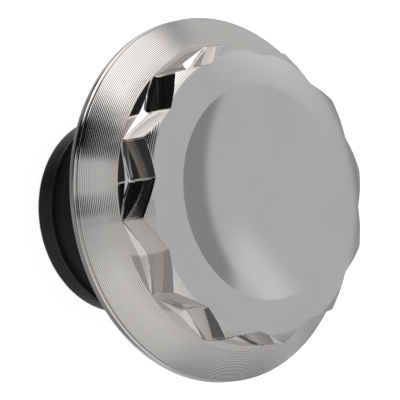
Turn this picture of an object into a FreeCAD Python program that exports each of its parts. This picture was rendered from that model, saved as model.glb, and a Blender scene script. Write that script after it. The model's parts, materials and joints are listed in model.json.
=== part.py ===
import FreeCAD
import Part
import math
import os

os.makedirs("parts", exist_ok=True)

Vec = FreeCAD.Vector

# All sizes are in millimetres. Z is the cap's axis, with the top of the knob up and the neck's end at 0.

# Cover: the chromed flange
flange_r = 44.0            # largest radius of the flange
rim_height = 35.8          # flange's lower edge above the neck's end
skirt_height = 9.1         # flange's lower edge to the flat floor around the knob
skirt_wall = 2.4           # wall of the flange at its lower edge
rim_bevel = 0.6            # bevel on the flange's lower edge
band_height = 1.5          # plain band above the bevel
vee_width = 0.6            # V-groove above the plain band
vee_depth = 0.6
bead_height = 1.0          # rounded bead above the V-groove
bead_swell = 0.2           # how far the bead bulges
dome_swell = 0.8           # how far the dome bulges over its chord
groove_count = 21          # fine turned grooves on the dome
groove_depth = 0.06

# Cover: the knob
knob_height = 10.3         # flat floor to the rim of the dish
lobe_count = 12
lobe_r = 36.35             # axis to the corners of the lobes
notch_depth = 3.4          # radial depth of the notches between the lobes
root_rise = 1.2            # height of the bevel at the foot of the facets
root_at_notch = 1.4        # its width in the notches
root_at_lobe = 0.25        # its width at the lobe corners
tip_margin = 0.1           # floor left outside the tips of the bevel
crease_inset = 2.55        # lobe corners in to the crease around the top
shoulder_drop = 1.5        # crease down to the lobe corners
shoulder_swell = 0.1       # how far the shoulder bulges outside the crease
crown_drop = 1.4           # rim of the dish down to the crease
crown_swell = 0.15         # how far the top ring bulges inside the crease
dish_r = 25.6              # rim of the round dish in the top
dish_depth = 5.4
crown_wall = 1.8           # metal left under the dish

# Cover: the hollow underside
land_depth = 3.0           # flange's lower edge up to the seat of the retainer plate
pocket_depth = 3.0         # seat of the plate up to the ceiling over the ratchet
head_room = 1.0            # heads of the wheel's screws to the hollow around them

# Ratchet
tooth_count = 24
tooth_tip_r = 31.5
tooth_depth = 1.5
wheel_t = 2.2
pawl_count = 4
pawl_t = 0.6               # thickness of a sprung finger
pawl_gap = 0.3             # finger to tooth
pawl_side = 0.5            # finger's edges to those of the ring
pawl_room = 1.1            # tooth tips to the inside of the pawl ring
pawl_wall = 0.8            # wall of the pawl ring
pawl_fit = 0.05            # pawl ring to the cover's pocket
pawl_steps = 8             # straight lengths in one finger

# Retainer plate and the fits between the cover and the plug
plate_t = 2.0
plate_room = 1.6           # plate's edge to the flange's wall
hub_r = 26.2
running_gap = 0.05         # radial clearance of the plate on the hub, and of the poppet's stem
axial_play = 0.2           # free play of the cover along the axis, each way
washer_t = 1.0
washer_r = 31.0
slip_gap = 0.1             # radial clearance of rings and screws in their seats

# Screws
screw_r = 1.5
socket_r = 1.15            # hexagon socket, axis to corner
socket_depth = 1.0
hole_spare = 0.6           # hole left beyond a screw's end
plate_screw_count = 6
plate_screw_len = 5.4
plate_head_r = 2.9
wheel_screw_count = 4
wheel_screw_len = 7.0      # under the head
wheel_head_r = 2.7
wheel_head_t = 1.6
wheel_screw_circle = 23.3

# Plug: barrel, thread, sealing flange and rubber parts
barrel_r = 23.2
plug_flange_r = 31.5
plug_flange_t = 3.6
gasket_t = 2.0
gasket_r = 31.0
gasket_slip = 0.4          # gasket's bore to the barrel
thread_pitch = 5.0
thread_turns = 2.4
thread_start = 100.0       # angle where the thread begins
thread_depth = 1.9
thread_crest = 1.4         # width of the thread's crest
thread_foot = 3.2          # width of the thread's foot
thread_sink = 0.4          # thread's foot sunk into the barrel
thread_gap = 1.4           # thread's upper end to the gasket
seal_r = 24.4
seal_height = 5.6
seal_wall = 3.4            # radial thickness of the rubber ring
seal_round = 1.3           # rounded outer edges of the rubber ring
seal_rib = 0.6             # height of the rib that holds the rubber ring
seal_rib_w = 1.6
end_recess = 0.4           # plug's end set back inside the rubber ring
spigot_wall = 3.5          # wall of the spigot that centres the ratchet wheel
spigot_step = 0.4          # wheel's top above the spigot's end

# Plug: bore and vent valve
bore_r = 17.0
clip_height = 2.4          # snap ring above the neck's end
clip_t = 1.2
clip_bite = 0.8            # how far the snap ring reaches into its groove
clip_width = 2.6           # radial width of the snap ring
clip_slit = 34.0           # angle of the snap ring's opening
clip_lug_r = 1.9
clip_hole_r = 0.8
housing_height = 16.4
housing_floor = 2.6
housing_wall = 3.4
housing_fit = 0.05
seat_hole_r = 8.5
seat_rise = 0.6            # height of the seat ring
seat_w = 1.0
oring_r = 0.8              # half thickness of the O-ring
oring_height = 6.0         # O-ring's middle above the housing's lower end
oring_slot = 2.0           # width of its groove
oring_nip = 0.02           # O-ring to the walls it seals
spring_plate_t = 1.5
spring_guide_h = 1.5       # ring under the plate that centres the spring
spring_guide_w = 1.2
spring_guide_gap = 0.3
vent_count = 6
plate_vent_r = 1.5
plate_vent_circle = 4.6
web_t = 3.0
web_hole_r = 9.0
chimney_r = 16.5           # bore above the web
filter_t = 4.0
filter_slip = 0.2
filter_cap_t = 1.0
cap_vent_r = 2.2
cap_vent_circle = 9.5

# Vent valve: moving pieces
seal_t = 1.0               # pressure seal
seal_lap = 0.5             # pressure seal past both edges of the seat ring
disc_r = 12.0
disc_t = 1.5
boss_r = 2.9
boss_h = 3.2
disc_vent_r = 0.8
disc_vent_circle = 4.9
stem_r = 1.8
poppet_r = 7.6
poppet_t = 1.3
vac_seal_t = 0.8
vac_seal_r = 7.2
vac_seal_w = 1.2
stem_clip_t = 0.8
stem_clip_r = 4.2
stem_groove = 0.4
stem_end = 1.4             # stem past its clip
pressure_coil_r = 9.0
pressure_wire_r = 0.55
pressure_turns = 4.0
vacuum_coil_r = 3.5
vacuum_wire_r = 0.3
vacuum_turns = 5.0
vacuum_spring_h = 6.1

# Heights and radii that follow from the sizes above
rim_z = rim_height
floor_z = rim_z + skirt_height
top_z = floor_z + knob_height
cavity_r = flange_r - skirt_wall
plate_r = cavity_r - plate_room
land_z = rim_z + land_depth
ceiling_z = land_z + pocket_depth
dish_z = top_z - dish_depth
core_top_z = dish_z - crown_wall
notch_r = lobe_r - notch_depth
crease_r = lobe_r - crease_inset
core_r = wheel_screw_circle + wheel_head_r + head_room

tooth_root_r = tooth_tip_r - tooth_depth
pawl_ring_in = tooth_tip_r + pawl_room
pawl_ring_out = pawl_ring_in + pawl_wall
pocket_r = pawl_ring_out + pawl_fit

plate_z = land_z - plate_t
washer_z = plate_z - axial_play - washer_t
plug_flange_z = washer_z - plug_flange_t
gasket_z = plug_flange_z - gasket_t
hub_top_z = land_z + axial_play
wheel_top_z = hub_top_z + wheel_t
plate_screw_circle = (pocket_r + plate_r) / 2

seal_bore_r = seal_r - seal_wall

clip_top_z = clip_height + clip_t
clip_out_r = bore_r + clip_bite
clip_in_r = clip_out_r - clip_width
housing_z = clip_top_z
housing_floor_z = housing_z + housing_floor
seat_z = housing_floor_z + seat_rise
housing_top_z = housing_z + housing_height
web_z = housing_top_z + spring_plate_t
web_top_z = web_z + web_t
filter_top_z = web_top_z + filter_t
housing_r = bore_r - housing_fit
housing_in_r = housing_r - housing_wall
spigot_r = chimney_r + spigot_wall

disc_z = seat_z + seal_t
disc_top_z = disc_z + disc_t
vac_seal_z = disc_z - vac_seal_t
poppet_z = vac_seal_z - poppet_t
stem_clip_z = disc_top_z + vacuum_spring_h
stem_top_z = stem_clip_z + stem_clip_t + stem_end

full_turn = 360.0
hexagon_sides = 6
over = 1.0                 # cutting shapes reach this far past the faces they cut


def at(radius, angle, z):
    """Point at a radius and an angle in degrees about the axis."""
    turn = math.radians(angle)
    return Vec(radius * math.cos(turn), radius * math.sin(turn), z)


def disc(radius, z, height):
    """Solid cylinder about the axis."""
    return Part.makeCylinder(radius, height, Vec(0, 0, z))


def ring(outer, inner, z, height):
    """Tube about the axis."""
    return disc(outer, z, height).cut(disc(inner, z - over, height + 2 * over))


def turned(path):
    """Solid turned about the axis. A path step is (radius, height), or an arc's middle and end."""
    edges = []
    here = Vec(path[0][0], 0, path[0][1])
    for step in path[1:] + [path[0]]:
        there = Vec(step[-2], 0, step[-1])
        if len(step) == 4:
            edges.append(Part.Arc(here, Vec(step[0], 0, step[1]), there).toShape())
        else:
            edges.append(Part.LineSegment(here, there).toShape())
        here = there
    face = Part.Face(Part.Wire(edges))
    return face.revolve(Vec(0, 0, 0), Vec(0, 0, 1), full_turn)


def bulge(start, end, swell):
    """Path step for an arc that stands out by swell, on the right of the way from start to end."""
    run = end[0] - start[0]
    rise = end[1] - start[1]
    chord = math.hypot(run, rise)
    middle_r = (start[0] + end[0]) / 2 + swell * rise / chord
    middle_z = (start[1] + end[1]) / 2 - swell * run / chord
    return middle_r, middle_z, end[0], end[1]


def prism(points, height):
    """Straight-sided solid on a closed list of points."""
    face = Part.Face(Part.makePolygon(points + [points[0]]))
    return face.extrude(Vec(0, 0, height))


def around(shape, count):
    """Copies of a shape, evenly spaced about the axis."""
    copies = []
    for k in range(count):
        copy = shape.copy()
        copy.rotate(Vec(0, 0, 0), Vec(0, 0, 1), full_turn * k / count)
        copies.append(copy)
    return copies


def aside(shape, x):
    """The shape moved out from the axis."""
    shape.translate(Vec(x, 0, 0))
    return shape


def hexagon(radius, z, height):
    """Six-sided prism for a screw's socket."""
    corners = [at(radius, full_turn * k / hexagon_sides, z) for k in range(hexagon_sides)]
    return prism(corners, height)


def vents(radius, circle, z, height):
    """Ring of drilled holes."""
    drill = Part.makeCylinder(radius, height + 2 * over, Vec(circle, 0, z - over))
    return around(drill, vent_count)


def coil(coil_r, wire_r, turns, low, high):
    """Round-wire spring whose end turns touch the two heights."""
    rise = high - low - 2 * wire_r
    path = Part.makeHelix(rise / turns, rise, coil_r)
    path.translate(Vec(0, 0, low + wire_r))
    section = Part.makeCircle(wire_r, Vec(coil_r, 0, low + wire_r), Vec(0, 1, 0))
    return Part.Wire(path).makePipeShell([Part.Wire(section)], True, True)


def save(shape, name):
    """Write one node's solids."""
    shape.exportStep("parts/" + name + ".step")
    print(name, len(shape.Solids), "solid", round(shape.Volume, 1), "mm3", shape.isValid())


# Knob: a star of flat facets, one from each notch to each lobe corner
half_pitch = full_turn / lobe_count / 2


def star(share, z):
    """Closed outline of the star, moved outward by a share of the root's widths."""
    corners = []
    for k in range(lobe_count):
        corners.append(at(notch_r + share * root_at_notch, 2 * half_pitch * k, z))
        corners.append(at(lobe_r + share * root_at_lobe, 2 * half_pitch * k + half_pitch, z))
    return Part.makePolygon(corners + [corners[0]])


# Top of the knob: rounded ring, rounded shoulder and round dish, turned about the axis
crease_z = top_z - crown_drop
corner_z = crease_z - shoulder_drop
dish_round = (dish_r * dish_r + dish_depth * dish_depth) / (2 * dish_depth)
half_dish = math.asin(dish_r / dish_round) / 2
dish_middle_r = dish_round * math.sin(half_dish)
dish_middle_z = dish_z + dish_round * (1 - math.cos(half_dish))
crown = turned([
    (0, floor_z - over),
    (lobe_r + over, floor_z - over),
    (lobe_r + over, corner_z),
    (lobe_r, corner_z),
    bulge((lobe_r, corner_z), (crease_r, crease_z), shoulder_swell),
    bulge((crease_r, crease_z), (dish_r, top_z), crown_swell),
    (dish_middle_r, dish_middle_z, 0, dish_z),
])
knob = Part.Face(star(0, floor_z - over)).extrude(Vec(0, 0, knob_height + 2 * over)).common(crown)

# Bevel at the foot of the facets, wide in the notches and narrow at the lobe corners
foot = Part.makeLoft([star(1, floor_z), star(0, floor_z + root_rise)], True, True)

# Flange: grooved dome, bead, V-groove, plain band and bevelled rim, turned about the axis
floor_r = lobe_r + root_at_lobe + tip_margin
band_z = rim_z + rim_bevel
vee_z = band_z + band_height
bead_z = vee_z + vee_width
dome_z = bead_z + bead_height
inset_r = flange_r - bead_swell
chord_r = floor_r - inset_r
chord_z = floor_z - dome_z
chord = math.hypot(chord_r, chord_z)
dome_round = (chord * chord / 4 + dome_swell * dome_swell) / (2 * dome_swell)
half_dome = math.asin(chord / 2 / dome_round)
dome = []
for k in range(2 * groove_count + 1):
    turn = half_dome * (k / groove_count - 1)
    reach = dome_round - groove_depth * (k % 2)
    along = chord / 2 + reach * math.sin(turn)
    rise = reach * math.cos(turn) - dome_round + dome_swell
    r = inset_r + (chord_r * along + chord_z * rise) / chord
    z = dome_z + (chord_z * along - chord_r * rise) / chord
    dome.append((r, z))
flange = turned([
    (0, land_z),
    (cavity_r, land_z),
    (cavity_r, rim_z),
    (flange_r - rim_bevel, rim_z),
    (flange_r, band_z),
    (flange_r, vee_z),
    (flange_r - vee_depth, vee_z + vee_width / 2),
    (inset_r, bead_z),
    (flange_r, bead_z + bead_height / 2, inset_r, dome_z),
] + dome[1:] + [
    (0, floor_z),
])

# Cover: flange and knob in one piece, with the ratchet's pocket, the hollow core and the screw holes
cover = flange.fuse([knob, foot])
cover = cover.cut(disc(pocket_r, land_z - over, pocket_depth + over))
cover = cover.cut(disc(core_r, ceiling_z - over, core_top_z - ceiling_z + over))
plate_hole_len = plate_screw_len - plate_t + hole_spare
plate_hole = Part.makeCylinder(screw_r + slip_gap, plate_hole_len + over,
                               Vec(plate_screw_circle, 0, land_z - over))
cover = cover.cut(around(plate_hole, plate_screw_count))
save(cover.removeSplitter(), "cap_cover")

# Retainer plate with its countersunk screws, heads downward and flush
head_t = plate_head_r - screw_r
plate = ring(plate_r, hub_r + running_gap, plate_z, plate_t)
sink = turned([
    (0, plate_z - over),
    (plate_head_r + slip_gap + over, plate_z - over),
    (screw_r + slip_gap, plate_z + head_t),
    (screw_r + slip_gap, land_z + over),
    (0, land_z + over),
])
save(plate.cut(around(aside(sink, plate_screw_circle), plate_screw_count)), "retainer_plate")
screw = turned([
    (0, plate_z),
    (plate_head_r, plate_z),
    (screw_r, plate_z + head_t),
    (screw_r, plate_z + plate_screw_len),
    (0, plate_z + plate_screw_len),
])
screw = screw.cut(hexagon(socket_r, plate_z - over, socket_depth + over))
save(Part.makeCompound(around(aside(screw, plate_screw_circle), plate_screw_count)), "plate_screws")

# Pawl ring: four sprung fingers that rest on the ramps of the teeth
tooth_pitch = full_turn / tooth_count
tip_angle = math.degrees(pawl_gap / tooth_root_r)
root_angle = tooth_pitch * (pawl_ring_out - pawl_t - pawl_fit - tooth_root_r - pawl_gap) / tooth_depth
pawl_z = land_z + pawl_side
inner = []
outer = []
for k in range(pawl_steps + 1):
    back = tip_angle + (root_angle - tip_angle) * k / pawl_steps
    r = tooth_root_r + pawl_gap + tooth_depth * back / tooth_pitch
    inner.append(at(r, -back, pawl_z))
    outer.append(at(r + pawl_t, -back, pawl_z))
pawl = prism(inner + outer[::-1], pocket_depth - 2 * pawl_side)
pawl_ring = ring(pawl_ring_out, pawl_ring_in, land_z, pocket_depth)
save(pawl_ring.fuse(around(pawl, pawl_count)).removeSplitter(), "pawl_ring")

# Ratchet wheel: each tooth rises at once and falls away along a ramp
corners = []
for k in range(tooth_count):
    corners.append(at(tooth_root_r, tooth_pitch * k, hub_top_z))
    corners.append(at(tooth_tip_r, tooth_pitch * k, hub_top_z))
wheel = prism(corners, wheel_t).cut(disc(spigot_r + slip_gap, hub_top_z - over, wheel_t + 2 * over))
wheel_drill_z = wheel_top_z - wheel_screw_len - hole_spare
wheel_drill = Part.makeCylinder(screw_r + slip_gap, wheel_top_z + over - wheel_drill_z,
                                Vec(wheel_screw_circle, 0, wheel_drill_z))
wheel_drills = around(wheel_drill, wheel_screw_count)
save(wheel.cut(wheel_drills), "ratchet_wheel")
screw = turned([
    (0, wheel_top_z - wheel_screw_len),
    (screw_r, wheel_top_z - wheel_screw_len),
    (screw_r, wheel_top_z),
    (wheel_head_r, wheel_top_z),
    (wheel_head_r, wheel_top_z + wheel_head_t),
    (0, wheel_top_z + wheel_head_t),
])
screw = screw.cut(hexagon(socket_r, wheel_top_z + wheel_head_t - socket_depth, socket_depth + over))
save(Part.makeCompound(around(aside(screw, wheel_screw_circle), wheel_screw_count)), "wheel_screws")

# Plug: barrel, sealing flange, hub and bore in one moulding, with a coarse right-hand thread
rib_low = (seal_height - seal_rib_w) / 2
rib_high = rib_low + seal_rib_w
spigot_top_z = wheel_top_z - spigot_step
clip_groove_r = clip_out_r + slip_gap
barrel = turned([
    (bore_r, end_recess),
    (seal_bore_r, end_recess),
    (seal_bore_r, rib_low),
    (seal_bore_r + seal_rib, rib_low),
    (seal_bore_r + seal_rib, rib_high),
    (seal_bore_r, rib_high),
    (seal_bore_r, seal_height),
    (barrel_r, seal_height),
    (barrel_r, plug_flange_z),
    (plug_flange_r, plug_flange_z),
    (plug_flange_r, washer_z),
    (hub_r, washer_z),
    (hub_r, hub_top_z),
    (spigot_r, hub_top_z),
    (spigot_r, spigot_top_z),
    (chimney_r, spigot_top_z),
    (chimney_r, web_top_z),
    (web_hole_r, web_top_z),
    (web_hole_r, web_z),
    (bore_r, web_z),
    (bore_r, clip_top_z),
    (clip_groove_r, clip_top_z),
    (clip_groove_r, clip_height),
    (bore_r, clip_height),
])
thread_rise = thread_pitch * thread_turns
thread_z = gasket_z - thread_gap - thread_foot / 2 - thread_rise
helix = Part.makeHelix(thread_pitch, thread_rise, barrel_r)
helix.translate(Vec(0, 0, thread_z))
tooth = Part.makePolygon([
    Vec(barrel_r - thread_sink, 0, thread_z - thread_foot / 2),
    Vec(barrel_r + thread_depth, 0, thread_z - thread_crest / 2),
    Vec(barrel_r + thread_depth, 0, thread_z + thread_crest / 2),
    Vec(barrel_r - thread_sink, 0, thread_z + thread_foot / 2),
    Vec(barrel_r - thread_sink, 0, thread_z - thread_foot / 2),
])
thread = Part.Wire(helix).makePipeShell([tooth], True, True)
thread.rotate(Vec(0, 0, 0), Vec(0, 0, 1), thread_start)
barrel = barrel.fuse(thread).cut(wheel_drills)
save(barrel, "closure_barrel")

# Rubber ring on the neck's end, sealing gasket and sliding washer
corner = seal_round * (1 - math.sqrt(0.5))
save(turned([
    (seal_bore_r, 0),
    (seal_r - seal_round, 0),
    (seal_r - corner, corner, seal_r, seal_round),
    (seal_r, seal_height - seal_round),
    (seal_r - corner, seal_height - corner, seal_r - seal_round, seal_height),
    (seal_bore_r, seal_height),
    (seal_bore_r, rib_high),
    (seal_bore_r + seal_rib, rib_high),
    (seal_bore_r + seal_rib, rib_low),
    (seal_bore_r, rib_low),
]), "neck_seal")
save(ring(gasket_r, barrel_r + gasket_slip, gasket_z, gasket_t), "seat_gasket")
save(ring(washer_r, hub_r + slip_gap, washer_z, washer_t), "thrust_washer")

# Vent valve's cup with its seat ring, O-ring and snap ring
oring_z = housing_z + oring_height
oring_mid_r = bore_r - oring_nip - oring_r
oring_groove_r = oring_mid_r - oring_r - oring_nip
save(turned([
    (seat_hole_r, housing_z),
    (housing_r, housing_z),
    (housing_r, oring_z - oring_slot / 2),
    (oring_groove_r, oring_z - oring_slot / 2),
    (oring_groove_r, oring_z + oring_slot / 2),
    (housing_r, oring_z + oring_slot / 2),
    (housing_r, housing_top_z),
    (housing_in_r, housing_top_z),
    (housing_in_r, housing_floor_z),
    (seat_hole_r + seat_w, housing_floor_z),
    (seat_hole_r + seat_w, seat_z),
    (seat_hole_r, seat_z),
]), "valve_housing")
save(Part.makeTorus(oring_mid_r, oring_r, Vec(0, 0, oring_z)), "housing_oring")
snap = ring(clip_out_r, clip_in_r, clip_height, clip_t)
slit = prism([Vec(0, 0, clip_height - over), at(2 * clip_out_r, -clip_slit / 2, clip_height - over),
              at(2 * clip_out_r, clip_slit / 2, clip_height - over)], clip_t + 2 * over)
snap = snap.cut(slit)
lug_angle = clip_slit / 2 + math.degrees(clip_lug_r / clip_in_r)
lugs = []
holes = []
for angle in (lug_angle, -lug_angle):
    lugs.append(Part.makeCylinder(clip_lug_r, clip_t, at(clip_in_r, angle, clip_height)))
    holes.append(Part.makeCylinder(clip_hole_r, clip_t + 2 * over, at(clip_in_r, angle, clip_height - over)))
save(snap.fuse(lugs).cut(holes).removeSplitter(), "housing_circlip")

# Spring plate on the cup, filter above the web and the disc that holds the filter
guide_r = pressure_coil_r - pressure_wire_r - spring_guide_gap
guide_z = housing_top_z - spring_guide_h
spring_plate = disc(housing_r, housing_top_z, spring_plate_t)
spring_plate = spring_plate.fuse(ring(guide_r, guide_r - spring_guide_w, guide_z, spring_guide_h))
save(spring_plate.cut(vents(plate_vent_r, plate_vent_circle, housing_top_z, spring_plate_t)), "spring_plate")
save(disc(chimney_r - filter_slip, web_top_z, filter_t), "vent_filter")
filter_cap = disc(chimney_r - housing_fit, filter_top_z, filter_cap_t)
save(filter_cap.cut(vents(cap_vent_r, cap_vent_circle, filter_top_z, filter_cap_t)), "filter_retainer")

# Pressure valve: drilled disc with a guide boss, and the rubber ring under it
pressure_disc = disc(disc_r, disc_z, disc_t).fuse(disc(boss_r, disc_z, disc_t + boss_h))
pressure_disc = pressure_disc.cut(disc(stem_r + running_gap, disc_z - over, disc_t + boss_h + 2 * over))
pressure_disc = pressure_disc.cut(vents(disc_vent_r, disc_vent_circle, disc_z, disc_t))
save(pressure_disc.removeSplitter(), "pressure_disc")
save(ring(seat_hole_r + seat_w + seal_lap, seat_hole_r - seal_lap, seat_z, seal_t), "pressure_seal")
save(coil(pressure_coil_r, pressure_wire_r, pressure_turns, disc_top_z, housing_top_z), "pressure_spring")

# Vacuum valve: poppet with its stem through the disc, rubber ring, clip and light spring
neck_r = stem_r - stem_groove
save(turned([
    (0, poppet_z),
    (poppet_r, poppet_z),
    (poppet_r, vac_seal_z),
    (stem_r, vac_seal_z),
    (stem_r, stem_clip_z),
    (neck_r, stem_clip_z),
    (neck_r, stem_clip_z + stem_clip_t),
    (stem_r, stem_clip_z + stem_clip_t),
    (stem_r, stem_top_z),
    (0, stem_top_z),
]), "vacuum_poppet")
save(ring(vac_seal_r, vac_seal_r - vac_seal_w, vac_seal_z, vac_seal_t), "vacuum_seal")
clip_slot = Part.makeBox(stem_clip_r + over, 2 * neck_r, stem_clip_t + 2 * over,
                         Vec(0, -neck_r, stem_clip_z - over))
save(ring(stem_clip_r, neck_r, stem_clip_z, stem_clip_t).cut(clip_slot), "stem_clip")
save(coil(vacuum_coil_r, vacuum_wire_r, vacuum_turns, disc_top_z, stem_clip_z), "vacuum_spring")
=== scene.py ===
# %% [markdown]
# A screw-in fuel cap, finished in Blender
#
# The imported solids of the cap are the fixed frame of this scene: they say where every piece is and
# what moves with what. In this lesson the pieces that can be seen get a finer surface, every piece
# gets a material made of nodes, and a small studio is set up around the cap.

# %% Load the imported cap
import json
import math

import bmesh
import bpy
from mathutils import Matrix, Vector


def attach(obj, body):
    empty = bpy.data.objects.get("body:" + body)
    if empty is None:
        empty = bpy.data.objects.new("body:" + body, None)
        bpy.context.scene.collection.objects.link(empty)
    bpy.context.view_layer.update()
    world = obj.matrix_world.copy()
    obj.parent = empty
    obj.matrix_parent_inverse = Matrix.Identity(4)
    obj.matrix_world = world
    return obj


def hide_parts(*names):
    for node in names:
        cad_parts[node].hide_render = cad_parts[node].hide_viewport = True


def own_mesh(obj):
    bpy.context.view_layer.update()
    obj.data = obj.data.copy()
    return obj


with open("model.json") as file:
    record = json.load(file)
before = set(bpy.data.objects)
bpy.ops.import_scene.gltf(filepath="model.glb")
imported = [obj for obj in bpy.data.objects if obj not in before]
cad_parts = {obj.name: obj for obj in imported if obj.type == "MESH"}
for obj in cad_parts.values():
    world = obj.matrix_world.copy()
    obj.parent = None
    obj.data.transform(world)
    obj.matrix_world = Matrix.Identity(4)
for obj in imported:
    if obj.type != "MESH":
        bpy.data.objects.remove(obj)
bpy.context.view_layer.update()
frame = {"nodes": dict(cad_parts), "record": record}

MM = 0.001
scene = bpy.context.scene
scene.view_settings.view_transform = "Standard"
print("nodes:", len(frame["nodes"]))

# %% [markdown]
# The camera comes first, because every later choice is judged through it. The cap stands upright on
# the end of its neck, and the picture shows it lying over to the left, so the camera looks down at
# about 47 degrees and is rolled by almost a quarter turn. Its place comes from a fit of the cap's
# circles to their ellipses in the picture: three directions, a distance and a focal length.

# %% Camera
right = Vector((-0.00662, 0.74051, 0.67201))
up = Vector((-0.98925, -0.10303, 0.10379))
back = Vector((0.14609, -0.66410, 0.73323))
aim = Vector((0, 0, 53.714 * MM)) - right * 14.0803 * MM - up * 1.7553 * MM
distance = 684.43 * MM
lens = bpy.data.cameras.new("studio_lens")
lens.sensor_width = 36.0
lens.lens = 260.24
lens.clip_start = 0.01
camera = bpy.data.objects.new("studio_camera", lens)
turn = Matrix((right, up, back)).transposed().to_4x4()
camera.matrix_world = Matrix.Translation(aim + back * distance) @ turn
scene.collection.objects.link(camera)
scene.camera = camera
print("camera at", [round(v, 3) for v in camera.matrix_world.translation])

# %% [markdown]
# A material here is a Principled shader fed by a few textures. All of them read Object coordinates,
# so a pattern stays on its piece when the piece moves. One helper builds the common part: a noise
# that shifts the colour a little, a second one that shifts the roughness, as handling does, and a
# fine grain for the bump. On turned steel and brass the grain is a set of rings about the cap's axis,
# as a lathe tool leaves them.

# %% Helper for the materials
blotch_scale = 90.0
smear_scale = 35.0
wave_period = math.tau / 20    # a Wave texture of scale 1 repeats after this length


def finish(name, dark, light, rough, grain_size, grain_depth, metal=0.0, lathe_marks=False):
    """Material whose colour, roughness and grain wander a little over the piece."""
    made = bpy.data.materials.new(name)
    made.use_nodes = True
    nodes = made.node_tree.nodes
    links = made.node_tree.links
    shader = nodes["Principled BSDF"]
    shader.inputs["Metallic"].default_value = metal
    coords = nodes.new("ShaderNodeTexCoord")

    blotch = nodes.new("ShaderNodeTexNoise")
    blotch.inputs["Scale"].default_value = blotch_scale
    blotch.inputs["Detail"].default_value = 4.0
    links.new(coords.outputs["Object"], blotch.inputs["Vector"])
    tint = nodes.new("ShaderNodeValToRGB")
    tint.color_ramp.elements[0].position = 0.3
    tint.color_ramp.elements[0].color = (*dark, 1.0)
    tint.color_ramp.elements[1].position = 0.7
    tint.color_ramp.elements[1].color = (*light, 1.0)
    links.new(blotch.outputs["Fac"], tint.inputs["Fac"])
    links.new(tint.outputs["Color"], shader.inputs["Base Color"])

    smear = nodes.new("ShaderNodeTexNoise")
    smear.inputs["Scale"].default_value = smear_scale
    smear.inputs["Detail"].default_value = 6.0
    links.new(coords.outputs["Object"], smear.inputs["Vector"])
    gloss = nodes.new("ShaderNodeMapRange")
    gloss.inputs["From Min"].default_value = 0.3
    gloss.inputs["From Max"].default_value = 0.7
    gloss.inputs["To Min"].default_value = rough[0]
    gloss.inputs["To Max"].default_value = rough[1]
    links.new(smear.outputs["Fac"], gloss.inputs["Value"])
    links.new(gloss.outputs["Result"], shader.inputs["Roughness"])

    if lathe_marks:
        grain = nodes.new("ShaderNodeTexWave")
        grain.wave_type = "RINGS"
        grain.rings_direction = "Z"
        grain.inputs["Scale"].default_value = wave_period / (grain_size * MM)
        grain.inputs["Distortion"].default_value = 1.2
    else:
        grain = nodes.new("ShaderNodeTexNoise")
        grain.inputs["Scale"].default_value = 1 / (grain_size * MM)
    grain.inputs["Detail"].default_value = 3.0
    links.new(coords.outputs["Object"], grain.inputs["Vector"])
    bump = nodes.new("ShaderNodeBump")
    bump.inputs["Strength"].default_value = 1.0
    bump.inputs["Distance"].default_value = grain_depth * MM
    links.new(grain.outputs["Fac"], bump.inputs["Height"])
    links.new(bump.outputs["Normal"], shader.inputs["Normal"])
    return made


print("noise scales:", blotch_scale, "and", smear_scale)

# %% [markdown]
# The cover is bright chrome on the facets and the grooved dome, and satin on top, where the real one
# is blasted to a fine even grey. The plug is moulded nylon, the rings are rubber, and the small
# pieces inside are steel, brass and white acetal.

# %% Materials
chrome = finish("polished_chrome", (0.675, 0.655, 0.638), (0.695, 0.675, 0.658), (0.015, 0.04), 0.6, 0.0003,
                metal=1.0)
satin = finish("satin_chrome", (0.655, 0.655, 0.658), (0.685, 0.685, 0.688), (0.1, 0.13), 0.12, 0.002,
               metal=1.0)
rubber = finish("black_rubber_skin", (0.011, 0.0101, 0.009), (0.02, 0.0184, 0.0164), (0.32, 0.45), 0.25,
                0.006)
nylon = finish("black_nylon_moulding", (0.013, 0.0118, 0.0106), (0.021, 0.0191, 0.0172), (0.42, 0.55), 0.4,
               0.012)
nylon.node_tree.nodes["Principled BSDF"].inputs["Specular IOR Level"].default_value = 0.25
steel = finish("machined_steel", (0.5, 0.5, 0.51), (0.6, 0.6, 0.61), (0.22, 0.36), 0.32, 0.004,
               metal=1.0, lathe_marks=True)
spring = finish("spring_steel_wire", (0.3, 0.3, 0.32), (0.42, 0.42, 0.44), (0.25, 0.4), 0.2, 0.002, metal=1.0)
acetal = finish("white_acetal_moulding", (0.7, 0.69, 0.65), (0.8, 0.79, 0.75), (0.35, 0.48), 0.4, 0.006)
brass = finish("turned_brass", (0.66, 0.48, 0.2), (0.76, 0.58, 0.29), (0.2, 0.34), 0.28, 0.004,
               metal=1.0, lathe_marks=True)
foam = finish("filter_foam_cells", (0.05, 0.05, 0.048), (0.14, 0.14, 0.13), (0.85, 0.98), 0.7, 0.25)
for_slot = {
    "chromed_metal": chrome,
    "black_nylon": nylon,
    "black_rubber": rubber,
    "plain_steel": steel,
    "spring_steel": spring,
    "white_acetal": acetal,
    "brass": brass,
    "filter_foam": foam,
}
print("materials:", ", ".join(made.name for made in for_slot.values()))

# %% [markdown]
# A solid that no later step replaces keeps its own mesh. The record says which finish each piece has, so
# one loop gives every solid its material.

# %% Materials on the solids
for part in frame["record"]["subparts"]:
    solid = frame["nodes"][part["node"]]
    solid.data.materials.clear()
    solid.data.materials.append(for_slot[part["material_slot"]])

# %% [markdown]
# Four helpers carry every new piece. The first spins a closed outline about the cap's axis, as a lathe
# would, and the second rounds the corners of such an outline. The third takes a solid that no lathe can
# make and bevels the edges of a copy. The last one welds the mesh, turns its faces outward, splits the
# shading at real edges, gives the piece its materials, hangs it on the body that it rides on and hides
# the solid that it stands for.

# %% Helpers for the pieces
round_steps = 192
weld_gap = 0.0005 * MM
solid_weld_gap = 0.001 * MM
flat_angle = math.radians(0.5)
edge_angle = math.radians(40)


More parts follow.
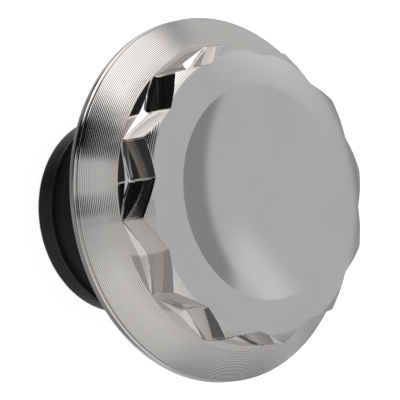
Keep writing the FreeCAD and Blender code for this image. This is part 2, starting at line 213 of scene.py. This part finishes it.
def turned(outline, steps):
    """Spin a closed outline of (radius, height) points about the axis."""
    bm = bmesh.new()
    points = [bm.verts.new((r * MM, 0, z * MM)) for r, z in outline]
    edges = [bm.edges.new(pair) for pair in zip(points, points[1:] + points[:1])]
    bmesh.ops.spin(bm, geom=points + edges, cent=(0, 0, 0), axis=(0, 0, 1), dvec=(0, 0, 0),
                   angle=math.tau, steps=steps, use_merge=True)
    return bm


def eased(outline, size):
    """Round every corner of a closed outline by a small size."""
    points = [Vector(point) for point in outline]
    soft = []
    for before, corner, after in zip(points[-1:] + points[:-1], points, points[1:] + points[:1]):
        cut = min(size, (before - corner).length / 3, (after - corner).length / 3)
        start = corner + (before - corner).normalized() * cut
        end = corner + (after - corner).normalized() * cut
        soft += [start, (start + 2 * corner + end) / 4, end]
    return [tuple(point) for point in soft]


def softened(node, width):
    """A copy of a solid's mesh, welded, with its sharp edges bevelled by a small width."""
    bm = bmesh.new()
    bm.from_mesh(frame["nodes"][node].data)
    bmesh.ops.remove_doubles(bm, verts=bm.verts, dist=solid_weld_gap)
    bmesh.ops.dissolve_limit(bm, angle_limit=flat_angle, verts=bm.verts, edges=bm.edges)
    sharp = [edge for edge in bm.edges if edge.is_manifold and edge.calc_face_angle() > edge_angle]
    bmesh.ops.bevel(bm, geom=sharp, offset=width * MM, offset_type="OFFSET", affect="EDGES", segments=2,
                    profile=0.5, material=-1, clamp_overlap=True)
    return bm


def place(bm, name, body, node, slot, split_angle, *materials):
    """Make a finished piece of a bmesh."""
    bmesh.ops.remove_doubles(bm, verts=bm.verts, dist=weld_gap)
    bmesh.ops.dissolve_degenerate(bm, edges=bm.edges, dist=weld_gap)
    bmesh.ops.recalc_face_normals(bm, faces=bm.faces)
    mesh = bpy.data.meshes.new(name)
    bm.to_mesh(mesh)
    bm.free()
    for material in materials:
        mesh.materials.append(material)
    mesh.shade_smooth()
    mesh.set_sharp_from_angle(angle=split_angle)
    piece = bpy.data.objects.new(name, mesh)
    scene.collection.objects.link(piece)
    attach(piece, body)
    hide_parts(node)
    print(name, len(mesh.polygons), "faces")
    return piece


print("a full turn has", round_steps, "steps")

# %% [markdown]
# The cover is one piece of metal: a dished, faceted knob on a grooved dome. A lathe makes all of it
# except the twelve lobes, so a spin alone can't. Instead the mesh grows ring by ring from the middle
# of the dish: each ring is extruded from the last one and then set to its radius and height. On the
# knob the radius depends on the angle, which gives the facets, and elsewhere it is the same all
# round. Each half lobe has fifteen columns of faces, closer together near the notch and the corner,
# so that these edges can be blunted by a hair.

# %% Sizes of the cover
# Radii and heights in millimetres, from the axis and from the neck's end
top_z = 55.2
floor_z = 44.9
rim_z = 35.8
dish_r = 25.6
dish_depth = 5.4
crease_r = 33.8
crease_z = 53.8
corner_z = 52.3
lobe_r = 36.35
notch_r = 32.95
floor_r = 36.7
flange_r = 44.0
crown_swell = 0.15
shoulder_swell = 0.1
root_rise = 1.2
root_at_notch = 1.4
root_at_lobe = 0.25
root_hollow = 0.08
notch_blunt = 0.04
corner_blunt = 0.05
ring_gap = 0.06
edge_drop = 0.005
lobes = 12
half_lobe = math.pi / lobes
stations = (0.0, 0.012, 0.06, 0.13, 0.2, 0.28, 0.3667, 0.45, 0.54, 0.63, 0.72, 0.81, 0.89, 0.95, 0.988)


def fold(angle):
    """Where an angle lies in its half lobe: 0 in the notch, 1 at the corner."""
    return abs((angle / half_lobe + 1) % 2 - 1)


def star(share, place_in_lobe):
    """Radius of the faceted outline, widened by a share of the round at its foot."""
    low = notch_r + root_at_notch * share
    high = lobe_r + root_at_lobe * share
    lean = math.atan2(high * math.cos(half_lobe) - low, high * math.sin(half_lobe))
    radius = low * math.cos(lean) / math.cos(half_lobe * place_in_lobe + lean)
    return min(max(radius, low + notch_blunt), high - corner_blunt)


def arc_height(r, start, end, swell):
    """Height of a bulging arc between two (radius, height) points."""
    part = (r - start[0]) / (end[0] - start[0])
    return start[1] + (end[1] - start[1]) * part + 4 * swell * part * (1 - part)


# One ridge as (share of the way from valley to valley, depth below the smooth surface)
ridge_form = ((0.0, 0.07), (0.14, 0.026), (0.38, 0.003), (0.62, 0.003), (0.86, 0.026), (1.0, 0.07))


def ridge_dip(share):
    """Depth of the turned grooves at a share of the way from one valley to the next."""
    for (s0, d0), (s1, d1) in zip(ridge_form, ridge_form[1:]):
        if share <= s1:
            return d0 + (d1 - d0) * (share - s0) / (s1 - s0)
    return ridge_form[-1][1]


print("half lobe:", round(math.degrees(half_lobe), 1), "degrees,", len(stations), "columns")


# %% First ring and the helper that grows the next one
cover = bmesh.new()
angles = []
for lobe in range(lobes):
    start = 2 * half_lobe * lobe
    angles += [start + half_lobe * s for s in stations]
    angles += [start + half_lobe * (2 - s) for s in (1.0,) + stations[:0:-1]]
first = bmesh.ops.create_circle(cover, cap_ends=True, segments=len(angles), radius=MM)
dish_z = top_z - dish_depth
dish_round = (dish_r ** 2 + dish_depth ** 2) / (2 * dish_depth)
for vert, angle in zip(first["verts"], angles):
    vert.co = (math.cos(angle) * MM, math.sin(angle) * MM, (dish_z + 0.5 / dish_round) * MM)
edge_ring = list({edge for vert in first["verts"] for edge in vert.link_edges})


def grow(bm, edges, radius, height):
    """Extrude a ring of edges and set the new ring at its radius and height."""
    grown = bmesh.ops.extrude_edge_only(bm, edges=edges)["geom"]
    for vert in grown:
        if isinstance(vert, bmesh.types.BMVert):
            angle = math.atan2(vert.co.y, vert.co.x)
            r = radius(fold(angle))
            vert.co = (r * math.cos(angle) * MM, r * math.sin(angle) * MM, height(r) * MM)
    return [edge for edge in grown if isinstance(edge, bmesh.types.BMEdge)]


def grow_round(bm, edges, points):
    """Grow rings that are the same all round."""
    for r, z in points:
        edges = grow(bm, edges, lambda f: r, lambda _: z)
    return edges


print("first ring:", len(edge_ring), "edges")

# %% [markdown]
# The top: a round dish, then a ring that falls away gently to a crease, then the short grooved shoulder
# that drops to the corners of the lobes. In the notches the outline lies inside the crease, so there the
# shoulder shrinks to nothing and is welded away.

# %% Grow the top of the knob
dish_angle = math.asin(dish_r / dish_round)
dish_rings = 24
bowl = []
for k in range(1, dish_rings + 1):
    turn_k = dish_angle * k / dish_rings
    bowl.append((dish_round * math.sin(turn_k), dish_z + dish_round * (1 - math.cos(turn_k))))
edge_ring = grow_round(cover, edge_ring, bowl)


def on_crown(r):
    """Height of the ring between the dish and the crease."""
    return arc_height(r, (dish_r, top_z), (crease_r, crease_z), crown_swell)


shoulder_ridges = 6
shoulder_pitch = (lobe_r - crease_r) / shoulder_ridges


def on_shoulder(r):
    """Height of the shoulder, and of the ring where the outline lies inside the crease."""
    if r <= crease_r:
        return on_crown(r)
    share = (r - crease_r) / shoulder_pitch % 1
    return arc_height(r, (crease_r, crease_z), (lobe_r, corner_z), shoulder_swell) - ridge_dip(share)


crown_rings = 10
for k in range(1, crown_rings + 1):
    share = k / crown_rings
    edge_ring = grow(cover, edge_ring,
                     lambda f: dish_r + (min(crease_r, star(0, f)) - dish_r) * share, on_crown)
satin_faces = set(cover.faces)
for ridge in range(shoulder_ridges):
    for share, _ in ridge_form[1:]:
        reach = crease_r + shoulder_pitch * (ridge + share)
        edge_ring = grow(cover, edge_ring, lambda f: min(reach, star(0, f)), on_shoulder)
print("rings on top:", dish_rings + crown_rings, "and", shoulder_ridges, "ridges")

# %% [markdown]
# The sides: flat facets straight down, a hollow round at their foot that is wide in the notches and
# narrow at the corners, and the flat floor. Two rings lie close together at the foot of the facets and
# at the edge of the floor, so that the smooth shading of the round next to them can't bend their
# mirror image.

# %% Grow the facets and the floor
for above in (ring_gap, 0.0):
    edge_ring = grow(cover, edge_ring, lambda f: star(0, f), lambda r: floor_z + root_rise + above)
root_rings = 4
for k in range(1, root_rings + 1):
    share = k / root_rings
    hollow = root_hollow * 4 * share * (1 - share)
    edge_ring = grow(cover, edge_ring, lambda f: star(share - hollow, f),
                     lambda r: floor_z + root_rise * (1 - share - hollow))
edge_ring = grow_round(cover, edge_ring, [(floor_r - ring_gap, floor_z), (floor_r, floor_z - edge_drop)])
print("foot rings:", root_rings)

# %% [markdown]
# The dome carries fine turned grooves, with broad crests and narrow valleys. A bump texture would lose them
# at the edge of the picture, so they are real: five points to a ridge, laid along the dome's arc. Below
# them come a bead, a V-groove, a plain band and a bevel.

# %% Grow the grooved dome
dome_r = 43.8
dome_z = 39.5
dome_swell = 0.8
ridges = 21
chord = Vector((dome_r - floor_r, dome_z - floor_z))
across = Vector((-chord.y, chord.x)).normalized()
dome_round = (chord.length ** 2 / 4 + dome_swell ** 2) / (2 * dome_swell)
half_dome = math.asin(chord.length / 2 / dome_round)
dome = []
for ridge in range(ridges):
    for share, depth in ridge_form[1:]:
        bend = half_dome * (2 * (ridge + share) / ridges - 1)
        reach = dome_round - depth
        along = chord.normalized() * (chord.length / 2 + reach * math.sin(bend))
        rise = across * (reach * math.cos(bend) - dome_round + dome_swell)
        point = Vector((floor_r, floor_z)) + along + rise
        dome.append((point.x, point.y))
edge_ring = grow_round(cover, edge_ring, dome)
bead_rings = 8
bead_swell = 0.2
bead_height = 1.0
bead = []
for k in range(1, bead_rings + 1):
    share = k / bead_rings
    bead.append((dome_r + bead_swell * 4 * share * (1 - share), dome_z - bead_height * share))
edge_ring = grow_round(cover, edge_ring, bead)
edge_ring = grow_round(cover, edge_ring, [
    (43.4, 38.2), (flange_r - 0.06, 37.93), (flange_r, 37.85), (flange_r, 36.48), (flange_r - 0.05, 36.36),
    (43.44, 35.84), (43.3, rim_z), (41.75, rim_z), (41.6, 35.95)])
print("ridges:", ridges, "with", len(dome), "rings")

# %% [markdown]
# Underneath, the cover is hollow: the flange's wall, a seat for the retainer plate, a pocket for the
# ratchet and a deeper well in the knob. The same rings make them, and a flat face closes the last one.

# %% Grow the hollow underside
edge_ring = grow_round(cover, edge_ring, [
    (41.6, 38.5), (41.3, 38.8), (33.45, 38.8), (33.45, 41.8), (27.0, 41.8), (27.0, 47.7), (26.7, 48.0),
    (1.0, 48.0)])
bmesh.ops.holes_fill(cover, edges=edge_ring, sides=len(angles))
bmesh.ops.recalc_face_normals(cover, faces=cover.faces)
for face in satin_faces:
    face.material_index = 1
place(cover, "cap_cover_shell", "cover", "cap_cover", "chromed_metal", math.radians(24), chrome, satin)

# %% [markdown]
# The rubber ring on the neck's end is a spun ring with a full round below and a tight one above, where
# the light draws a thin line. It grips the plug with a rib in its bore, which stays out of sight.

# %% Rubber ring on the neck
def rounded_corner(r, z, size, start, steps):
    """Points of a quarter round about (r, z), from a start angle in degrees."""
    bends = [math.radians(start + 90 * k / steps) for k in range(steps + 1)]
    return [(r + size * math.cos(b), z + size * math.sin(b)) for b in bends]


seal_r = 24.4
seal_top = 5.6
low_round = 1.3
high_round = 0.5
seal = turned([(21.0, 0.0), (22.6, 0.0)]
              + rounded_corner(seal_r - low_round, low_round, low_round, -90, 10)
              + rounded_corner(seal_r - high_round, seal_top - high_round, high_round, 0, 8)
              + [(21.0, seal_top), (21.0, 3.6), (21.6, 3.6), (21.6, 2.0), (21.0, 2.0)], 240)
place(seal, "neck_seal_ring", "closure", "neck_seal", "black_rubber", math.radians(30), rubber)

# %% [markdown]
# The plug is a moulding, so its edges are a little round. Its outline runs up the outside, past a low
# collar next to the rubber ring, over the hub that carries the ratchet, and down the stepped bore. The
# thread is a short outline spun along a helix. Its two ends run out: near them the crest sinks into the
# plug's wall.

# %% Plug and its thread
plug_easing = 0.35
plug = turned(eased([
    (17.0, 0.4), (21.0, 0.4), (21.0, 2.0), (21.6, 2.0), (21.6, 3.6), (21.0, 3.6), (21.0, 5.6), (23.2, 5.6),
    (23.2, 8.6), (22.85, 8.9), (22.85, 32.0), (31.5, 32.0), (31.5, 35.6), (26.2, 35.6), (26.2, 39.0),
    (20.0, 39.0), (20.0, 40.8), (16.5, 40.8), (16.5, 24.5), (9.0, 24.5), (9.0, 21.5), (17.0, 21.5),
    (17.0, 3.6), (17.9, 3.6), (17.9, 2.4), (17.0, 2.4)], plug_easing), round_steps)
thread_root = 22.8
thread_z = 15.0
thread_start = math.radians(100)
pitch = 5.0
turns = 2.4
run_out = 0.12       # turns over which each end sinks
least_stand = 0.03   # share of the thread's height that is left at its very end
half_thread = [(thread_root, 1.6), (24.8, 0.82), (25.03, 0.67), (25.1, 0.45)]
thread = bmesh.new()
points = []
for r, rise in half_thread + [(r, -rise) for r, rise in reversed(half_thread)]:
    points.append(thread.verts.new((r * math.cos(thread_start) * MM, r * math.sin(thread_start) * MM,
                                    (thread_z + rise) * MM)))
edges = [thread.edges.new(pair) for pair in zip(points, points[1:] + points[:1])]
thread_steps = 288
bmesh.ops.spin(thread, geom=points + edges, cent=(0, 0, 0), axis=(0, 0, 1), angle=math.tau * turns,
               dvec=(0, 0, pitch * turns / thread_steps * MM), steps=thread_steps)
bmesh.ops.holes_fill(thread, edges=[edge for edge in thread.edges if edge.is_boundary], sides=len(points))
for vert in thread.verts:
    angle = math.atan2(vert.co.y, vert.co.x)
    around = (angle - thread_start) / math.tau % 1
    turn_now = around + round((vert.co.z / MM - thread_z) / pitch - around)
    part = min(max(min(turn_now, turns - turn_now) / run_out, 0), 1)
    stand = least_stand + (1 - least_stand) * part * part * (3 - 2 * part)
    r = thread_root + (math.hypot(vert.co.x, vert.co.y) / MM - thread_root) * stand
    vert.co.x = r * math.cos(angle) * MM
    vert.co.y = r * math.sin(angle) * MM
helix = bpy.data.meshes.new("helix")
thread.to_mesh(helix)
thread.free()
plug.from_mesh(helix)
place(plug, "threaded_plug", "closure", "closure_barrel", "black_nylon", edge_angle, nylon)

# %% [markdown]
# Two more rings need only eased corners: the gasket under the flange and the washer above it.

# %% Other turned pieces
rings = {
    "seat_gasket": ("black_rubber", 0.4, [(23.6, 30.0), (31.0, 30.0), (31.0, 32.0), (23.6, 32.0)]),
    "thrust_washer": ("white_acetal", 0.15, [(26.3, 35.6), (31.0, 35.6), (31.0, 36.6), (26.3, 36.6)]),
}
for node, (slot, size, outline) in rings.items():
    ring = turned(eased(outline, size), round_steps)
    place(ring, node + "_turned", "closure", node, slot, edge_angle, for_slot[slot])

# %% [markdown]
# The plate, the screws, the snap ring and the valve pieces have holes and slots, so they are bevelled
# copies of their solids. A Weighted Normal modifier lets their large flat faces keep a flat shading, so
# that only the bevels look round.

# %% Bevelled pieces
bevelled = {
    "retainer_plate": ("cover", 0.12),
    "plate_screws": ("cover", 0.08),
    "housing_circlip": ("closure", 0.1),
    "valve_housing": ("closure", 0.15),
    "vacuum_poppet": ("vacuum_valve", 0.12),
    "pressure_disc": ("pressure_valve", 0.12),
}
slots = {part["node"]: part["material_slot"] for part in frame["record"]["subparts"]}
for node, (body, width) in bevelled.items():
    slot = slots[node]
    piece = place(softened(node, width), node + "_bevelled", body, node, slot, edge_angle, for_slot[slot])
    flat = piece.modifiers.new("flat_faces", "WEIGHTED_NORMAL")
    flat.keep_sharp = True

# %% [markdown]
# The two springs shorten when their valves open. Each one here is a copy of its solid's mesh with a mesh
# of its own, on the body that carries it; it is not squashed, and the joint, fixed end and length in its
# row are not used.

# %% Springs
springs = {
    "pressure_spring": ("closure", "pressure_valve_lift", 20.0, 10.7),
    "vacuum_spring": ("pressure_valve", "vacuum_valve_drop", 9.3, 6.1),
}
for node, (body, joint, fixed_z, length) in springs.items():
    wire = bmesh.new()
    wire.from_mesh(frame["nodes"][node].data)
    coil = place(wire, node + "_coil", body, node, slots[node], edge_angle, spring)
    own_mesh(coil)

# %% [markdown]
# The studio is a white floor and a world that lights from all round. Chrome shows whatever stands
# about it, so for mirror rays the world is drawn as a room: mid grey, with a white window on one side
# and dark panels beside it. A picture of a real room could do the same, but a room of a few Math nodes
# needs no file, and each light or dark place in it can be moved by one number. First come the node
# helpers.

# %% Studio: node helpers
world = bpy.data.worlds.new("studio")
scene.world = world
world.use_nodes = True
sky = world.node_tree.nodes
wires = world.node_tree.links
sky.clear()
sight = sky.new("ShaderNodeTexCoord")


def math_node(operation, *values):
    """One Math node on sockets and numbers."""
    made = sky.new("ShaderNodeMath")
    made.operation = operation
    for socket, value in zip(made.inputs, values):
        if isinstance(value, (int, float)):
            socket.default_value = value
        else:
            wires.new(value, socket)
    return made.outputs[0]


def along_axis(axis):
    """How far the ray looks along an axis."""
    made = sky.new("ShaderNodeVectorMath")
    made.operation = "DOT_PRODUCT"
    made.inputs[1].default_value = axis
    wires.new(sight.outputs["Generated"], made.inputs[0])
    return made.outputs["Value"]


def blend(value, start, end, low, high):
    """Pass smoothly from a low to a high number while a value goes from its start to its end."""
    made = sky.new("ShaderNodeMapRange")
    made.interpolation_type = "SMOOTHSTEP"
    for name, number in (("From Min", start), ("From Max", end), ("To Min", low), ("To Max", high)):
        made.inputs[name].default_value = number
    wires.new(value, made.inputs["Value"])
    return made.outputs["Result"]


def inside(value, half, soft):
    """1 inside a half angle in degrees, falling to 0 over a soft edge."""
    return blend(value, math.radians(half + soft), math.radians(half - soft), 0.0, 1.0)


def lay(below, mask, level):
    """Lay one brightness over the studio so far, where a mask is 1."""
    return math_node("ADD", below, math_node("MULTIPLY", mask, math_node("SUBTRACT", level, below)))


print("world:", world.name)

# %% [markdown]
# The grooved dome mirrors a whole ring of the room, so the room's walls are standing strips, from floor
# to ceiling. A strip is placed by the direction in which the dome would have to face to mirror it
# towards the camera: that direction lies halfway between the ray and the camera, which is why the
# camera's own direction is added to the ray's. The strips lean a little, as the bands on the dome do.
# The walls darken below the horizon, and overhead they pass into a plain ceiling.

# %% Studio: walls
sideways = math_node("ADD", along_axis((1, 0, 0)), back.x)
forward = math_node("ADD", along_axis((0, 1, 0)), back.y)
height = along_axis((0, 0, 1))
lean_level = 0.19
lean_by_height = 0.22
lean = math_node("SUBTRACT", lean_level, math_node("MULTIPLY", height, lean_by_height))
bearing_now = math_node("ADD", math_node("ARCTAN2", forward, sideways), lean)
wall_level = 0.66
strips = (   # bearing, half width and soft edge in degrees, brightness
    (-43, 22, 14, 0.84),
    (-72, 9, 8, 0.54),
    (-126, 17, 2.5, 1.6),
    (-149, 3, 3.5, 0.28),
    (-105, 4.8, 2.5, 0.0),
)
walls = wall_level
for bearing, half_width, soft, level in strips:
    off = math_node("WRAP", math_node("SUBTRACT", bearing_now, math.radians(bearing)), math.pi, -math.pi)
    walls = lay(walls, inside(math_node("ABSOLUTE", off), half_width, soft), level)
walls = math_node("MULTIPLY", walls, blend(height, -0.2, 0.0, 0.35, 1.0))
ceiling_level = 0.58
flatness = math_node("SQRT", math_node("ADD", math_node("MULTIPLY", sideways, sideways),
                                       math_node("MULTIPLY", forward, forward)))
studio = lay(ceiling_level, blend(flatness, 0.68, 0.84, 0.0, 1.0), walls)
print("wall strips:", len(strips))

# %% [markdown]
# The flat facets each mirror one small place, directly or by way of the floor in front of them, so
# single panels hang there. Each panel has a soft edge, as a piece of card near a lens would.

# %% Studio: panels
panels = (   # azimuth, elevation, half width, half height and soft edge in degrees, brightness
    (42, -5, 26, 18, 12, 0.12),
    (130, 32, 12, 10, 8, 0.76),
    (98, 1, 22.8, 19.3, 3.5, 0.3),
    (-84.5, 2, 5.5, 31, 2.5, 0.06),
    (-79, 49, 5, 6, 2, 0.04),
    (-80, -48, 6, 5, 3, 0.04),
    (-128, -10, 18, 47, 3, 0.01),
    (-124, 46, 7, 8, 3, 0.01),
    (-143, 47, 6, 5, 3, 0.03),
    (-148, 61, 5, 4, 2, 0.02),
    (-3, -46.5, 8, 5, 3, 0.13),
)
for azimuth, elevation, half_width, half_height, soft, level in panels:
    heading = Matrix.Rotation(math.radians(azimuth), 3, "Z")
    facing = heading @ Matrix.Rotation(math.radians(-elevation), 3, "Y")
    ahead, side, high = (along_axis(facing.col[k]) for k in range(3))
    wide = math_node("ABSOLUTE", math_node("ARCTAN2", side, ahead))
    tall = math_node("ABSOLUTE", math_node("ARCSINE", high))
    mask = math_node("MULTIPLY", inside(wide, half_width, soft), inside(tall, half_height, soft))
    studio = lay(studio, mask, level)
print("panels:", len(panels))

# %% [markdown]
# Only mirror rays see that room. Diffuse surfaces get an even light, which leaves soft shadows, and the
# camera itself sees plain white.

# %% Studio: what each kind of ray sees
path = sky.new("ShaderNodeLightPath")
mirror_ray = math_node("MAXIMUM", path.outputs["Is Glossy Ray"], path.outputs["Is Transmission Ray"])
even = sky.new("ShaderNodeBackground")
even.inputs["Strength"].default_value = 0.6
mirrored = sky.new("ShaderNodeBackground")
wires.new(studio, mirrored.inputs["Strength"])
white = sky.new("ShaderNodeBackground")
white.inputs["Strength"].default_value = 1.0
for shade in (even, mirrored, white):
    shade.inputs["Color"].default_value = (1, 1, 1, 1)
glossy_mix = sky.new("ShaderNodeMixShader")
wires.new(mirror_ray, glossy_mix.inputs[0])
wires.new(even.outputs[0], glossy_mix.inputs[1])
wires.new(mirrored.outputs[0], glossy_mix.inputs[2])
camera_mix = sky.new("ShaderNodeMixShader")
wires.new(path.outputs["Is Camera Ray"], camera_mix.inputs[0])
wires.new(glossy_mix.outputs[0], camera_mix.inputs[1])
wires.new(white.outputs[0], camera_mix.inputs[2])
world_out = sky.new("ShaderNodeOutputWorld")
wires.new(camera_mix.outputs[0], world_out.inputs["Surface"])
print("studio nodes:", len(sky))

# %% [markdown]
# The floor is matt and glows a little for the camera, so that it stays white and takes only a faint
# shadow. It is left out of mirror images. One large lamp overhead gives that shadow its direction.

# %% Studio: floor and lamp
ground = bmesh.new()
bmesh.ops.create_grid(ground, x_segments=1, y_segments=1, size=4.0)
floor_mesh = bpy.data.meshes.new("studio_floor")
ground.to_mesh(floor_mesh)
ground.free()
floor = bpy.data.objects.new("studio_floor", floor_mesh)
scene.collection.objects.link(floor)
paint = bpy.data.materials.new("floor_white")
paint.use_nodes = True
floor_nodes = paint.node_tree.nodes
floor_links = paint.node_tree.links
floor_nodes.clear()
matt = floor_nodes.new("ShaderNodeBsdfDiffuse")
matt.inputs["Color"].default_value = (0.5, 0.5, 0.5, 1)
glow = floor_nodes.new("ShaderNodeEmission")
glow.inputs["Color"].default_value = (1, 1, 1, 1)
floor_path = floor_nodes.new("ShaderNodeLightPath")
lift = floor_nodes.new("ShaderNodeMath")
lift.operation = "MULTIPLY"
lift.inputs[1].default_value = 0.85
floor_links.new(floor_path.outputs["Is Camera Ray"], lift.inputs[0])
floor_links.new(lift.outputs[0], glow.inputs["Strength"])
both = floor_nodes.new("ShaderNodeAddShader")
floor_links.new(matt.outputs[0], both.inputs[0])
floor_links.new(glow.outputs[0], both.inputs[1])
floor_out = floor_nodes.new("ShaderNodeOutputMaterial")
floor_links.new(both.outputs[0], floor_out.inputs["Surface"])
floor_mesh.materials.append(paint)
floor.visible_glossy = False

lamp = bpy.data.lights.new("overhead_softbox", "AREA")
lamp.shape = "DISK"
lamp.size = 1.2
lamp.energy = 9.0
overhead = bpy.data.objects.new("overhead_softbox", lamp)
overhead.location = (-0.3, 0.2, 1.3)
overhead.rotation_euler = (Vector((0, 0, 0)) - Vector(overhead.location)).to_track_quat("-Z", "Y").to_euler()
overhead.visible_glossy = False
scene.collection.objects.link(overhead)
print("floor and lamp in place")
